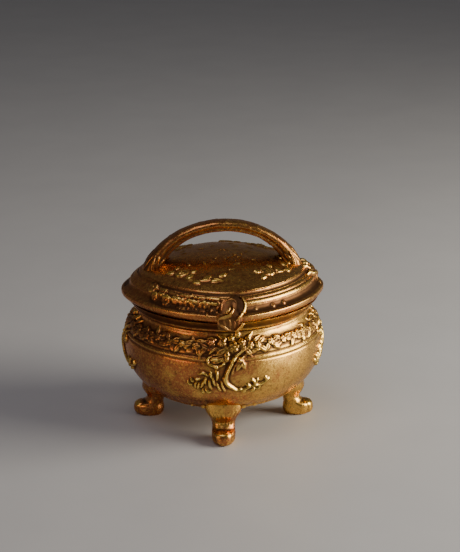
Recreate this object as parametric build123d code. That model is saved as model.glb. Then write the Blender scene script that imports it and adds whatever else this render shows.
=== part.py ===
from build123d import *
from math import copysign, cos, hypot, pi, sin, sqrt
import os

# A footed jewellery case of gilt cast metal: a pot-bellied bowl on four scrolled feet, a
# domed lift-off lid with a strap handle, and a padded silk lining.
# Millimetres. The origin is on the table under the middle of the bowl, +Z is up and -Y is
# the front. Radii called "corner" are measured to the four mild corners of the plan.

# Plan of the castings
bowl_pull = 0.025          # share by which the bowl's sides are drawn in behind its corners
lid_pull = 0.055           # the same for the lid
corner_bend = 0.55         # corner arc radius as a share of the corner radius
lid_turn = 6.0             # degrees that the lid sits turned in its round mouth
wall = 2.2                 # casting thickness, bowl and lid
solder_gap = 0.15          # between castings that are soldered together

# Bowl, from the underside up: each level has its rise over the last and its corner radius
underside_height = 17.6
underside_corner = 37.7
heel_rise, heel_corner = 6.9, 46.6
flank_rise, flank_corner = 7.5, 51.3
belly_rise, belly_corner = 10.0, 53.4
line_rise, line_corner = 8.5, 52.7
shoulder_rise, shoulder_corner = 6.5, 50.0
neck_rise, neck_corner = 5.3, 46.6
cove_rise, cove_corner = 2.9, 48.2
rim_rise, rim_corner = 5.0, 52.2
bowl_section_count = 17
floor_thick = 2.6
floor_edge_radius = 36.6

# C-scrolls in relief, back to back on each corner of the bowl
scroll_relief = 2.1
scroll_half_height = 10.5
scroll_waist = 2.6         # from the corner line to the middle of the scroll's back
scroll_reach = 9.4         # from the corner line to the middle of its ends
scroll_width = 3.2
volute_radius = 2.7
scroll_lift = 2.5          # scroll middle above the belly level

# Raised line round the belly
line_half_width = 1.0
line_relief = 0.35

# Lid, from its seat up: its mouldings' levels, each with its rise and corner radius
seat_gap = 0.3
seat_corner = 50.0
shadow_gap = 0.3           # the lip's lower edge stands this far above the seat
lip_corner = 53.2
edge_rise, edge_corner = 1.6, 54.5
roll_rise, roll_corner = 1.6, 54.3
channel_foot_rise, channel_foot_corner = 1.3, 52.8
channel_rise, channel_corner = 2.1, 50.4
ridge_foot_rise, ridge_foot_corner = 1.6, 49.8
ridge_rise, ridge_corner = 1.9, 48.4
bead_foot_rise, bead_foot_corner = 0.9, 46.5
bead_rise, bead_corner = 0.9, 46.0
dome_base_rise, dome_base_corner = 1.7, 44.2
dome_rise = 9.4
moulding_section_count = 5
dome_section_count = 6
dome_tip = 0.06            # the last dome section as a share of its base
spigot_depth = 3.6
spigot_clearance = 0.5
spigot_thick = 1.6
ledge_thick = 2.2
ledge_radius = 48.4
ledge_wall_height = 1.2    # upright wall over the ledge, before the hollow closes in

# Shell ornament on the lid's front corner
shell_ribs = 5
shell_spread = 54.0        # degrees between the outer ribs
shell_length = 13.4
shell_root_radius = 1.4
shell_lobe_radius = 2.5
shell_lean = 27.0          # degrees off the vertical, outwards at the bottom
shell_root_depth = 6.4     # the ribs' meeting point behind the lid's edge
shell_clearance = 0.5

# Handle: an elliptical arch, wider and thicker at its roots
arch_half_span = 39.0
arch_height = 31.6         # over the springing line
arch_springing = 6.2       # springing line above the lid's seat
strap_width, root_width = 8.4, 14.5
strap_thick, root_thick = 5.0, 9.6
strap_section_count = 13
peg_radius = 1.6
peg_clearance = 0.15
peg_inset = 2.0            # from the arch's end towards its middle
peg_end = 1.0              # how far a peg stands through the lid's wall

# Feet, cabriole: (height share, middle from the axis, half depth, half width)
foot_sections = (
    (0.0, 40.4, 6.2, 4.8),
    (0.07, 40.6, 7.4, 5.8),
    (0.2, 40.7, 8.0, 6.3),
    (0.35, 40.2, 7.1, 6.2),
    (0.48, 38.2, 5.3, 6.0),
    (0.6, 37.0, 4.7, 6.3),
    (0.76, 37.2, 5.6, 7.6),
    (0.92, 37.7, 6.6, 9.2),
    (1.1, 38.2, 6.1, 9.9),
    (1.3, 38.6, 5.4, 9.4),
)
foot_names = ("foot_right", "foot_back", "foot_left", "foot_front")
screw_distance = 34.0
screw_radius = 1.25
screw_depth = 5.0          # into the foot
screw_clearance = 0.1
screw_head_radius, screw_head_thick = 2.2, 1.6
screw_slot_width, screw_slot_depth = 0.6, 0.7

# Lining
lining_gap = 0.3
base_card_thick = 1.0
side_card_thick = 1.0
side_card_clearance = 0.4  # from the bowl's wall to the card's foot
side_card_top_gap = 0.6    # under the lid's spigot
side_pad_thick = 1.9
base_pad_thick = 3.4
base_pad_crown = 2.6
lid_card_thick = 1.0
lid_pad_thick = 2.0
lid_pad_crown = 2.2


def plan_wire(corner, height, pull):
    """One level of a casting: four gentle side arcs, tangent to four tighter corner arcs."""
    side = corner * (1 - pull)
    bend = corner * corner_bend
    reach = corner - bend
    behind = (reach**2 - (side - bend) ** 2) / (2 * (side - bend) - sqrt(2) * reach)
    away = behind / sqrt(2)
    stretch = (side + behind) / hypot(reach + away, away)
    joint_x, joint_y = stretch * (reach + away) - away, stretch * away - away
    middle = side / sqrt(2)
    edges = []
    for quarter in range(4):
        turn = Rot(0, 0, 90 * quarter)
        edges.append(turn * ThreePointArc((joint_x, -joint_y), (corner, 0), (joint_x, joint_y)))
        edges.append(turn * ThreePointArc((joint_x, joint_y), (middle, middle), (joint_y, joint_x)))
    return Pos(0, 0, height) * Wire(edges)


def lofted(levels, pull, extra=0.0):
    """A solid through (height, corner radius) levels, its walls moved out by extra."""
    return Solid.make_loft([plan_wire(corner + extra, height, pull) for height, corner in levels])


def at(radius, height):
    """A point of an outline in the XZ plane."""
    return (radius, 0, height)


def outline(base, steps):
    """The smooth outline through (rise, corner radius) steps over a base height."""
    points = []
    for rise, corner in steps:
        base += rise
        points.append(at(corner, base))
    return Spline(points)


def levels_along(curve, count):
    """Evenly spaced (height, corner radius) levels of an outline."""
    points = [curve @ (index / (count - 1)) for index in range(count)]
    return [(point.Z, point.X) for point in points]


def inset(curve, count, pull, depth):
    """Points `depth` inside the drawn-in sides of the casting that follows an outline."""
    inner = []
    for index in range(count):
        share = index / (count - 1)
        point, along = curve @ share, curve % share
        inner.append((point.X * (1 - pull) - depth * along.Z, point.Z + depth * along.X))
    return inner


def roof_arc(foot, apex):
    """The arc from a foot point up to an apex on the axis, where it is level."""
    reach, rise = foot[0], apex - foot[2]
    bend = (reach**2 + rise**2) / (2 * abs(rise))
    drop = bend - sqrt(bend**2 - (reach / 2) ** 2)
    return ThreePointArc(foot, at(reach / 2, apex - copysign(drop, rise)), at(0, apex))


def turned(*lines):
    """A solid of revolution about Z from edges in the XZ plane that close on the axis."""
    return revolve(make_face(Wire(list(lines))), Axis.Z)


bowl_steps = [
    (0, underside_corner),
    (heel_rise, heel_corner),
    (flank_rise, flank_corner),
    (belly_rise, belly_corner),
    (line_rise, line_corner),
    (shoulder_rise, shoulder_corner),
    (neck_rise, neck_corner),
    (cove_rise, cove_corner),
    (rim_rise, rim_corner),
]
bowl_outline = outline(underside_height, bowl_steps)
bowl_levels = levels_along(bowl_outline, bowl_section_count)
belly_height = underside_height + heel_rise + flank_rise + belly_rise
line_height = belly_height + line_rise
neck_height = line_height + shoulder_rise + neck_rise
rim_top = neck_height + cove_rise + rim_rise
floor_top = underside_height + floor_thick
mouth_radius = neck_corner * (1 - bowl_pull) - wall
lid_seat = rim_top + seat_gap
spigot_bottom = lid_seat - spigot_depth


def bowl_block(extra=0.0, lower=0.0):
    """The bowl as a full block; extra moves its sides out and lower its underside down."""
    levels = list(bowl_levels)
    levels[0] = (underside_height - lower, underside_corner)
    return lofted(levels, bowl_pull, extra)


def hollow_side():
    """The outline of the bowl's hollow, from the edge of its floor up to the neck."""
    inner = [at(radius, height)
             for radius, height in inset(bowl_outline, 2 * bowl_section_count, bowl_pull, wall)
             if floor_top + wall < height < neck_height - wall]
    return Spline([at(floor_edge_radius, floor_top)] + inner + [at(mouth_radius, neck_height)])


def hollow_radius(height):
    level = Line(at(0, height), at(2 * belly_corner, height))
    return hollow_side().intersect(level).vertices()[0].X


def bowl_hollow():
    top = rim_top + wall
    return turned(
        Line(at(0, floor_top), at(floor_edge_radius, floor_top)),
        hollow_side(),
        Line(at(mouth_radius, neck_height), at(mouth_radius, top)),
        Line(at(mouth_radius, top), at(0, top)),
        Line(at(0, top), at(0, floor_top)),
    )


def c_scrolls():
    """Two C-scrolls back to back, seen from outside, as a block that points along +X."""
    arc = ThreePointArc((scroll_reach, -scroll_half_height), (scroll_waist, 0),
                        (scroll_reach, scroll_half_height))
    scroll = trace(arc, scroll_width)
    for end in (-1, 1):
        scroll += Pos(scroll_reach, end * scroll_half_height) * Circle(volute_radius)
    pair = scroll + mirror(scroll, Plane.YZ)
    facing = Plane(origin=(underside_corner, 0, belly_height + scroll_lift), x_dir=(0, 1, 0),
                   z_dir=(1, 0, 0))
    return extrude(facing * pair, belly_corner)


def body_shell():
    bowl = bowl_block()
    relief = bowl_block(scroll_relief)
    for quarter in range(4):
        bowl += Rot(0, 0, 90 * quarter) * c_scrolls() & relief
    slab = Pos(0, 0, line_height) * Cylinder(2 * belly_corner, 2 * line_half_width)
    bowl += bowl_block(line_relief) & slab
    bowl -= bowl_hollow()
    for quarter in range(4):
        hole = Cylinder(screw_radius + screw_clearance, 4 * floor_thick)
        bowl -= Rot(0, 0, 90 * quarter) * Pos(screw_distance, 0, underside_height) * hole
    return bowl


def foot(angle):
    levels = []
    for share, middle, depth, width in foot_sections:
        oval = Pos(middle, 0, share * underside_height) * Ellipse(depth, width)
        levels.append(oval.wire())
    leg = Solid.make_loft(levels)
    leg -= bowl_block(solder_gap, solder_gap)
    bore_bottom = underside_height - screw_depth - 2 * screw_clearance
    bore = Cylinder(screw_radius + screw_clearance, underside_height,
                    align=(Align.CENTER, Align.CENTER, Align.MIN))
    leg -= Pos(screw_distance, 0, bore_bottom) * bore
    return Rot(0, 0, angle) * leg


def foot_screw():
    up = (Align.CENTER, Align.CENTER, Align.MIN)
    shank_bottom = underside_height - screw_depth
    shank = Pos(0, 0, shank_bottom) * Cylinder(screw_radius, floor_top - shank_bottom, align=up)
    head = Pos(0, 0, floor_top) * Cylinder(screw_head_radius, screw_head_thick, align=up)
    slot_height = floor_top + screw_head_thick - screw_slot_depth
    slot = Pos(0, 0, slot_height) * Box(3 * screw_head_radius, screw_slot_width, screw_head_thick,
                                        align=up)
    return shank + head - slot


def foot_screws():
    screws = [Rot(0, 0, 90 * q) * Pos(screw_distance, 0, 0) * foot_screw() for q in range(4)]
    return Compound(children=screws)


lid_mouldings = [
    [(0, lip_corner), (edge_rise, edge_corner), (roll_rise, roll_corner),
     (channel_foot_rise, channel_foot_corner)],
    [(0, channel_foot_corner), (channel_rise, channel_corner),
     (ridge_foot_rise, ridge_foot_corner)],
    [(0, ridge_foot_corner), (ridge_rise, ridge_corner), (bead_foot_rise, bead_foot_corner)],
    [(0, bead_foot_corner), (bead_rise, bead_corner), (dome_base_rise, dome_base_corner)],
]
lip_height = lid_seat + shadow_gap
edge_height = lip_height + edge_rise
channel_height = edge_height + roll_rise + channel_foot_rise + channel_rise
ridge_height = channel_height + ridge_foot_rise + ridge_rise
bead_height = ridge_height + bead_foot_rise + bead_rise
dome_base = bead_height + dome_base_rise


def dome_levels():
    shares = [1 - (1 - dome_tip) * index / (dome_section_count - 1)
              for index in range(dome_section_count)]
    return [(dome_base + dome_rise * (1 - s * s), dome_base_corner * s) for s in shares]


def lid_block(extra=0.0):
    """The lid as a full block of stacked mouldings under a dome, without its spigot."""
    block = lofted(dome_levels(), lid_pull, extra)
    base = lip_height
    for steps in lid_mouldings:
        levels = levels_along(outline(base, steps), moulding_section_count)
        block += lofted(levels, lid_pull, extra)
        base += sum(rise for rise, corner in steps)
    return block


def lid_hollow():
    bore = mouth_radius - spigot_clearance - spigot_thick
    ledge = lid_seat + ledge_thick
    bend = ledge + ledge_wall_height
    bottom = spigot_bottom - wall
    side = 1 - lid_pull
    roof_foot = at(bead_corner * side - wall, bead_height)
    roof = roof_arc(roof_foot, dome_base + dome_rise - wall)
    return turned(
        Line(at(0, bottom), at(bore, bottom)),
        Line(at(bore, bottom), at(bore, ledge)),
        Line(at(bore, ledge), at(ledge_radius, ledge)),
        Line(at(ledge_radius, ledge), at(ledge_radius, bend)),
        Line(at(ledge_radius, bend), roof_foot),
        roof,
        Line(at(0, dome_base + dome_rise - wall), at(0, bottom)),
    )


def shell_ornament():
    """A fan of tapered ribs that hangs from the lid's ridge over its edge."""
    up = (Align.CENTER, Align.CENTER, Align.MIN)
    rib = Cone(shell_root_radius, shell_lobe_radius, shell_length, align=up)
    rib += Pos(0, 0, shell_length) * Sphere(shell_lobe_radius)
    root = Pos(0, shell_root_depth - edge_corner, ridge_height)
    fan = Sphere(2 * shell_root_radius)
    for index in range(shell_ribs):
        spread = shell_spread * (index / (shell_ribs - 1) - 0.5)
        fan += Rot(180 - shell_lean, 0, 0) * Rot(0, spread, 0) * rib
    fan = root * fan
    clear = Solid.extrude(Face(plan_wire(rim_corner + shell_clearance, 0, bowl_pull)),
                          Vector(0, 0, edge_height))
    return fan - Rot(0, 0, -lid_turn) * clear


def peg_places():
    distance = arch_half_span - peg_inset
    return [Pos(side * distance, 0, 0) for side in (-1, 1)]


def lid_shell():
    seat = Solid.extrude(Face(plan_wire(seat_corner, lid_seat, lid_pull)), Vector(0, 0, shadow_gap))
    spigot_radius = mouth_radius - spigot_clearance
    spigot = Pos(0, 0, spigot_bottom) * Cylinder(spigot_radius, spigot_depth + shadow_gap,
                                                 align=(Align.CENTER, Align.CENTER, Align.MIN))
    lid = lid_block() + seat + spigot - lid_hollow()
    lid += shell_ornament()
    for place in peg_places():
        lid -= place * Pos(0, 0, dome_base) * Cylinder(peg_radius + peg_clearance, 6 * wall)
    return lid


def strap_section(angle):
    """A rounded strap section square to the arch; angle 0 and 180 are at the springing."""
    middle = (arch_half_span * cos(angle), 0, lid_seat + arch_springing + arch_height * sin(angle))
    along = Vector(-arch_half_span * sin(angle), 0, arch_height * cos(angle))
    flare = abs(cos(angle)) ** 5
    width = strap_width + (root_width - strap_width) * flare
    thick = strap_thick + (root_thick - strap_thick) * flare
    square = Plane(origin=middle, x_dir=(0, 1, 0), z_dir=along)
    return (square * RectangleRounded(width, thick, 0.42 * thick)).wire()


def handle():
    angles = [pi * index / (strap_section_count - 1) for index in range(strap_section_count)]
    strap = Solid.make_loft([strap_section(angle) for angle in angles])
    for lift in (0, solder_gap):
        strap -= Pos(0, 0, lift) * lid_block(solder_gap)
    strap -= Solid.extrude(Face(plan_wire(edge_corner, lid_seat - arch_height, lid_pull)),
                           Vector(0, 0, arch_height + shadow_gap))
    down = (Align.CENTER, Align.CENTER, Align.MAX)
    for place in peg_places():
        peg = Pos(0, 0, dome_base + 2 * wall) * Cylinder(peg_radius, 3 * wall + peg_end, align=down)
        strap += place * peg
    return strap


lining_foot = floor_top + screw_head_thick + 2 * lining_gap + base_card_thick
lining_top = spigot_bottom - side_card_top_gap
card_foot_radius = hollow_radius(lining_foot) - side_card_clearance
card_top_radius = mouth_radius - lining_gap


def side_card():
    section = Polyline(
        at(card_foot_radius, lining_foot),
        at(card_top_radius, lining_top),
        at(card_top_radius - side_card_thick, lining_top),
        at(card_foot_radius - side_card_thick, lining_foot),
        close=True,
    )
    return revolve(make_face(section), Axis.Z)


def base_card():
    height = floor_top + screw_head_thick + lining_gap
    radius = card_foot_radius - side_card_thick - 2 * lining_gap
    return Pos(0, 0, height) * Cylinder(radius, base_card_thick,
                                        align=(Align.CENTER, Align.CENTER, Align.MIN))


def crowned_pad(radius, base, thick, crown, up):
    """A round pad: flat back at height base, drawn-in side and a crowned face."""
    edge = base + up * thick
    tuck = thick / 2
    face = edge + up * crown
    return turned(
        Line(at(0, base), at(radius - tuck, base)),
        ThreePointArc(at(radius - tuck, base), at(radius, (base + edge) / 2),
                      at(radius - tuck, edge)),
        roof_arc(at(radius - tuck, edge), face),
        Line(at(0, face), at(0, base)),
    )


def side_pad():
    """Wadded silk down the inside of the card, full at mid height and drawn in at its edges."""
    foot, top = lining_foot, lining_top
    back_foot = card_foot_radius - side_card_thick - lining_gap
    back_top = card_top_radius - side_card_thick - lining_gap
    middle = (foot + top) / 2
    full = (back_foot + back_top) / 2 - side_pad_thick
    edge = side_pad_thick / 2
    section = [
        Line(at(back_foot, foot), at(back_top, top)),
        Line(at(back_top, top), at(back_top - edge, top)),
        ThreePointArc(at(back_top - edge, top), at(full, middle), at(back_foot - edge, foot)),
        Line(at(back_foot - edge, foot), at(back_foot, foot)),
    ]
    return revolve(make_face(Wire(section)), Axis.Z)


def base_pad():
    radius = card_foot_radius - side_card_thick - 2 * lining_gap - side_pad_thick
    return crowned_pad(radius, lining_foot, base_pad_thick, base_pad_crown, 1)


def lid_card():
    radius = mouth_radius - spigot_clearance - spigot_thick - lining_gap
    return Pos(0, 0, lid_seat) * Cylinder(radius, lid_card_thick,
                                          align=(Align.CENTER, Align.CENTER, Align.MIN))


def lid_pad():
    radius = mouth_radius - spigot_clearance - spigot_thick - lining_gap
    return crowned_pad(radius, lid_seat - lining_gap, lid_pad_thick, lid_pad_crown, -1)


lid_pose = Rot(0, 0, lid_turn)
nodes = {
    "body_shell": body_shell(),
    "foot_screws": foot_screws(),
    "base_card": base_card(),
    "side_card": side_card(),
    "side_pad": side_pad(),
    "base_pad": base_pad(),
    "lid_shell": lid_pose * lid_shell(),
    "handle": lid_pose * handle(),
    "lid_card": lid_pose * lid_card(),
    "lid_pad": lid_pose * lid_pad(),
}
for number, name in enumerate(foot_names):
    nodes[name] = foot(90 * number)

os.makedirs("parts", exist_ok=True)
for name, shape in nodes.items():
    export_step(shape, f"parts/{name}.step")
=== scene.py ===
import math

import bpy
import numpy as np
from mathutils import Matrix, Vector


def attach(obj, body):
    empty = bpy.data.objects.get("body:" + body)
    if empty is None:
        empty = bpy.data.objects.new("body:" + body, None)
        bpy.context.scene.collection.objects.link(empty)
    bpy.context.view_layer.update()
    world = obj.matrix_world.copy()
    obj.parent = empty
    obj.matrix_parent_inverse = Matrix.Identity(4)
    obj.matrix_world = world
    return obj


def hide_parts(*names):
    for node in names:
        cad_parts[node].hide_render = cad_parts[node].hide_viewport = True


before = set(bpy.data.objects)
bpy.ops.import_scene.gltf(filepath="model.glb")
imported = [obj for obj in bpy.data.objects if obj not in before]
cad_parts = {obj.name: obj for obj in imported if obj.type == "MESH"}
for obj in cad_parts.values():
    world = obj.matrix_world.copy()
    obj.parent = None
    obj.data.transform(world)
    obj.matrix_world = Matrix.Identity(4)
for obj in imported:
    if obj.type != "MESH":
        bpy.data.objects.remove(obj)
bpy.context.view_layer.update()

# The jewellery case in its looks. Sizes below are millimetres of the castings, as the model
# has them, and every mesh is written in metres.
MM = 0.001
TURN = 2 * math.pi
LID_TURN = math.radians(6.0)

# Plans of the castings: a square with bent sides and mild corners
CORNER_BEND = 0.55
BOWL_PULL = 0.025
LID_PULL = 0.055
WALL = 2.2

# Columns of the grids all the way round, and the radius of the ring next to a pole
COLUMNS, DOME_COLUMNS, PAD_COLUMNS = 720, 640, 480
POLE = 1.0

# Outlines, as (corner radius, height)
UNDERSIDE, NECK_HEIGHT, RIM_HEIGHT = 17.6, 62.3, 70.2
BOWL_OUTLINE = [
    (37.7, UNDERSIDE), (46.6, 24.5), (51.3, 32.0), (53.4, 42.0), (52.7, 50.5),
    (50.0, 57.0), (46.6, NECK_HEIGHT), (48.2, 65.2), (52.2, RIM_HEIGHT),
]
LINE_HEIGHT = 50.5  # the double line over the belly, where the bowl's two grids meet
BAND_HEIGHT = 56.4  # middle of the band of flowers
FLANGE_HEIGHT = 63.3  # crease under the rim
CARTOUCHE_HEIGHT = 44.5  # middle of the scrolls on the corners
BEAD_HEIGHT = 20.0  # beads beside the feet
MOUTH = 43.24
UNDERSIDE_RADIUS = 36.9
FLOOR_HEIGHT, FLOOR_EDGE = 20.2, 36.6
HOLLOW_BOTTOM, HOLLOW_TOP = 24.0, 60.5

# Edge and top of the rim, from outside to the mouth, as (corner radius, height, squareness)
RIM_TOP = [
    (51.9, 69.9, 1.0), (51.5, 70.15, 1.0), (51.0, RIM_HEIGHT, 1.0), (48.5, RIM_HEIGHT, 0.8),
    (45.5, RIM_HEIGHT, 0.3), (43.9, RIM_HEIGHT, 0.0), (43.5, 70.1, 0.0), (MOUTH, 69.8, 0.0),
]

# Soft lines round the bowl, as (height, half width, rise), and the painted shade that darkens its band and
# rim
BOWL_LINES = [
    (LINE_HEIGHT, 0.6, 0.35), (LINE_HEIGHT - 1.5, 0.42, -0.34), (LINE_HEIGHT + 1.5, 0.42, -0.34),
    (FLANGE_HEIGHT, 0.6, -0.60), (FLANGE_HEIGHT + 1.6, 0.7, 0.40), (19.4, 0.75, 0.60),
]
BAND_SHADE = [(BAND_HEIGHT, 3.6, 0.30), (67.5, 2.6, 0.30)]

LIP_HEIGHT = 70.8
LID_MOULDINGS = [
    [(53.2, LIP_HEIGHT), (54.5, 72.4), (54.3, 74.0), (52.8, 75.3)],
    [(52.8, 75.3), (50.4, 77.4), (49.8, 79.0)],
    [(49.8, 79.0), (48.4, 80.9), (46.5, 81.8)],
    [(46.5, 81.8), (46.0, 82.7), (44.2, 84.4)],
]
CHANNEL_HEIGHT, RIDGE_FOOT_HEIGHT, RIDGE_HEIGHT = 77.0, 79.0, 80.9
DOME_BASE, DOME_BASE_HEIGHT, DOME_RISE = 44.2, 84.4, 9.4
SPIGOT_OUTSIDE, SPIGOT_INSIDE, SPIGOT_BOTTOM, SPIGOT_BEVEL = 42.74, 41.14, 66.9, 0.3
LEDGE_RADIUS, LEDGE_HEIGHT, LEDGE_TOP = 48.4, 72.7, 73.9
ROOF_FOOT_RADIUS, ROOF_FOOT_HEIGHT, ROOF_TOP = 41.3, 82.7, 91.6

# Seat and lip under the lid's edge, and the row that its two grids share inside
LID_SEAT = 70.5
SEAT_AND_LIP = [(46.0, LID_SEAT, 0.5), (49.8, LID_SEAT, 1.0)]
SEAT_AND_LIP += [(radius, LIP_HEIGHT, 1.0) for radius in (50.0, 51.8, 53.0)]
ROOF_EDGE = (DOME_BASE - WALL, 83.6, 0.5)

# Soft lines round the lid's edge, its hollows darkened by painted shade, and the painted light on its ridge
# and painted shade on its lip
EDGE_LINES = [
    (76.6, 1.2, -0.35), (74.2, 0.6, 0.30), (79.6, 0.8, 0.25), (80.9, 0.25, -0.30), (81.7, 0.35, 0.30),
    (83.3, 0.6, -0.40),
]
EDGE_HOLLOWS = [(75.6, 0.8, 1.0), (76.7, 0.8, 1.0), (77.6, 0.7, 1.0), (83.2, 0.7, 1.0)]
EDGE_SHADE = [(79.8, 0.9, 0.14), (70.6, 0.8, -0.2)]
# Depth of the painted shade in the edge's hollows, and the painted light laid over the whole dome
HOLLOW_SHADE, DOME_SHADE = 0.34, 0.12
FADE_MIDDLE, FADE_WIDTH, FADE = 15, 20, 0.75  # the lines fade here, in degrees of each half turn

# The shell's ground line as (distance from the lid's axis, height), clear of the mouldings
SHELL_PATH = [
    (46.6, 82.9), (49.6, 81.0), (52.2, 78.0), (54.2, 75.2), (54.9, 72.4), (54.6, 69.6), (53.8, 66.8),
]

# Its edges, as (distance to the right of the lid's front, share of the way down)
SHELL_LEFT = [
    (-0.6, 0.0), (-4.6, 0.14), (-6.8, 0.30), (-7.2, 0.46), (-9.0, 0.60), (-8.8, 0.72), (-6.2, 0.82),
    (-4.2, 0.93), (0.4, 1.0),
]
SHELL_RIGHT = [
    (3.4, 0.0), (5.4, 0.12), (6.6, 0.30), (6.2, 0.46), (4.4, 0.58), (4.2, 0.66), (5.4, 0.74),
    (3.6, 0.88), (1.2, 1.0),
]
SHELL_LENGTH, SHELL_THICK, SHELL_SWELL = 19.7, 1.4, 1.5
SHELL_HOLLOW = 1.5  # depth of the hollow at its upper middle
SHELL_LOWEST, SHELL_HIGHEST = -0.6, 3.2
SHELL_FRONT = 56.4  # how far forward it may stand, to stay inside the model's box

# Handle
ARCH_HALF_SPAN, ARCH_HEIGHT, ARCH_SPRINGING = 39.0, 31.0, 76.7
STRAP_WIDTH, ROOT_WIDTH, STRAP_THICK, ROOT_THICK = 9.4, 15.0, 5.8, 9.8
STRAP_SQUARENESS = 2.9  # of its section, where 2 is an ellipse
ROOT_DEPTH = 1.0  # how far the roots reach below the lid's face

# Sections of a foot, as (share of the underside's height, middle, half depth, half width)
FOOT_SECTIONS = [
    (0.0, 40.4, 6.2, 4.8), (0.07, 40.6, 7.4, 5.8), (0.2, 40.7, 8.0, 6.3), (0.35, 40.2, 7.1, 6.2),
    (0.48, 38.2, 5.3, 6.0), (0.6, 37.0, 4.7, 6.3), (0.76, 37.2, 5.6, 7.6), (0.92, 37.7, 6.6, 9.2),
    (1.1, 38.2, 6.1, 9.9), (1.3, 38.6, 5.4, 9.4),
]
TOE_HEIGHT, TOE_CREST, CREASE_HEIGHT, KNEE_HEIGHT = 4.0, 5.8, 8.0, 12.5
FOOT_BITE = 0.8  # how far the feet reach into the bowl's side
BELLY_POINTS = 130  # points of the bowl's outline that the feet meet

# Lining: its levels, its two round pads, and the back of the silk round the wall
LINING_FOOT, LINING_TOP, LID_PAD_BASE = 23.4, 66.3, 70.2
CUSHION = {"radius": 37.4, "thick": 3.4, "crown": 2.6}
LID_PAD = {"radius": 40.84, "thick": 2.0, "crown": 2.2}
SIDE_FOOT_RADIUS, SIDE_TOP_RADIUS, SIDE_THICK = 39.6, 41.64, 1.9

# Lights, as (name, place in metres, sides, watts, colour), aimed at the case's middle
CASE_MIDDLE = (0, 0, 0.05)
LIGHTS = [
    ("window", (0.82, -0.12, 0.32), (0.62, 0.60), 17.0, (1.0, 0.93, 0.72)),
    ("overhead", (-0.25, -0.35, 1.1), (0.7, 0.7), 3.0, (1.0, 0.98, 0.96)),
    ("room", (-0.75, -0.55, 0.22), (0.45, 0.35), 1.3, (1.0, 0.64, 0.36)),
]
ROOM_LIGHT = 0.28


def plan_share(angle, pull):
    """Radius of a casting's plan at an azimuth, as a share of its corner radius."""
    side, reach = 1 - pull, 1 - CORNER_BEND
    behind = (reach**2 - (side - CORNER_BEND) ** 2) / (2 * (side - CORNER_BEND) - math.sqrt(2) * reach)
    away = behind / math.sqrt(2)
    big = side + behind
    stretch = big / math.hypot(reach + away, away)
    joint = math.atan2(stretch * away - away, stretch * (reach + away) - away)
    folded = np.abs((angle + math.pi / 4) % (math.pi / 2) - math.pi / 4)
    corner = reach * np.cos(folded)
    corner += np.sqrt(np.maximum(CORNER_BEND**2 - (reach * np.sin(folded)) ** 2, 0))
    inward = -away * (np.cos(folded) + np.sin(folded))
    flank = inward + np.sqrt(inward**2 - 2 * away**2 + big**2)
    return np.where(folded < joint, corner, flank)


def smooth_curve(points, count):
    """Evenly spaced points along the natural cubic curve through some points."""
    points = np.array(points, float)
    knots = np.concatenate([[0], np.cumsum(np.linalg.norm(np.diff(points, axis=0), axis=1))])
    gaps = np.diff(knots)
    number = len(points)
    system, right = np.eye(number), np.zeros_like(points)
    for i in range(1, number - 1):
        system[i, i - 1:i + 2] = gaps[i - 1], 2 * (gaps[i - 1] + gaps[i]), gaps[i]
        right[i] = 6 * ((points[i + 1] - points[i]) / gaps[i] - (points[i] - points[i - 1]) / gaps[i - 1])
    bend = np.linalg.solve(system, right)
    fine = np.linspace(0, knots[-1], 40 * number)
    left = np.clip(np.searchsorted(knots, fine) - 1, 0, number - 2)
    gap = gaps[left][:, None]
    b = (fine - knots[left])[:, None] / gap
    a = 1 - b
    curve = a * points[left] + b * points[left + 1]
    curve += ((a**3 - a) * bend[left] + (b**3 - b) * bend[left + 1]) * gap**2 / 6
    return evenly(curve, count)


def evenly(curve, count):
    """Points at even spacing along a fine polyline."""
    length = np.concatenate([[0], np.cumsum(np.linalg.norm(np.diff(curve, axis=0), axis=1))])
    even = np.linspace(0, length[-1], count)
    return np.stack([np.interp(even, length, curve[:, k]) for k in range(curve.shape[1])], 1)


def spread(points, spacing):
    """Points along straight runs, no further apart than the spacing."""
    rows = [points[0]]
    for here, there in zip(points, points[1:]):
        steps = max(1, math.ceil(math.dist(here[:2], there[:2]) / spacing))
        rows += [tuple(h + (t - h) * k / steps for h, t in zip(here, there)) for k in range(1, steps + 1)]
    return rows


def blur(field, rows, columns):
    """Gaussian blur of a grid that closes on itself from column to column."""
    pad = int(3 * rows) + 1
    tall = np.pad(field, ((pad, pad), (0, 0)), mode="edge")
    across = np.fft.fftfreq(tall.shape[1])[None, :]
    up = np.fft.fftfreq(tall.shape[0])[:, None]
    window = np.exp(-2 * math.pi**2 * ((up * rows) ** 2 + (across * columns) ** 2))
    return np.real(np.fft.ifft2(np.fft.fft2(tall) * window))[pad:-pad]


def bump(value, middle, width):
    return np.exp(-((value - middle) / width) ** 2)


def soft_lines(heights, table):
    """What the lines (height, half width, rise) of a table add up to at some heights."""
    return sum(rise * bump(heights, level, width) for level, width, rise in table)


def turned(points, angle):
    """Points turned about the upright axis."""
    c, s = math.cos(angle), math.sin(angle)
    x, y, z = np.moveaxis(points, -1, 0)
    return np.stack([c * x - s * y, s * x + c * y, z], -1)


def new_object(name, data):
    made = bpy.data.objects.new(name, data)
    bpy.context.scene.collection.objects.link(made)
    return made


def new_piece(name, points, faces, material, cavity):
    """A smooth mesh object from points in mm, which keeps its relief's depth and painted shade for the
    material.
    """
    data = bpy.data.meshes.new(name)
    data.from_pydata((points * MM).tolist(), [], faces)
    data.polygons.foreach_set("use_smooth", [True] * len(data.polygons))
    store = data.attributes.new("cavity", "FLOAT", "POINT")
    store.data.foreach_set("value", np.asarray(cavity, np.float32))
    data.materials.append(material)
    return new_object(name, data)


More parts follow.
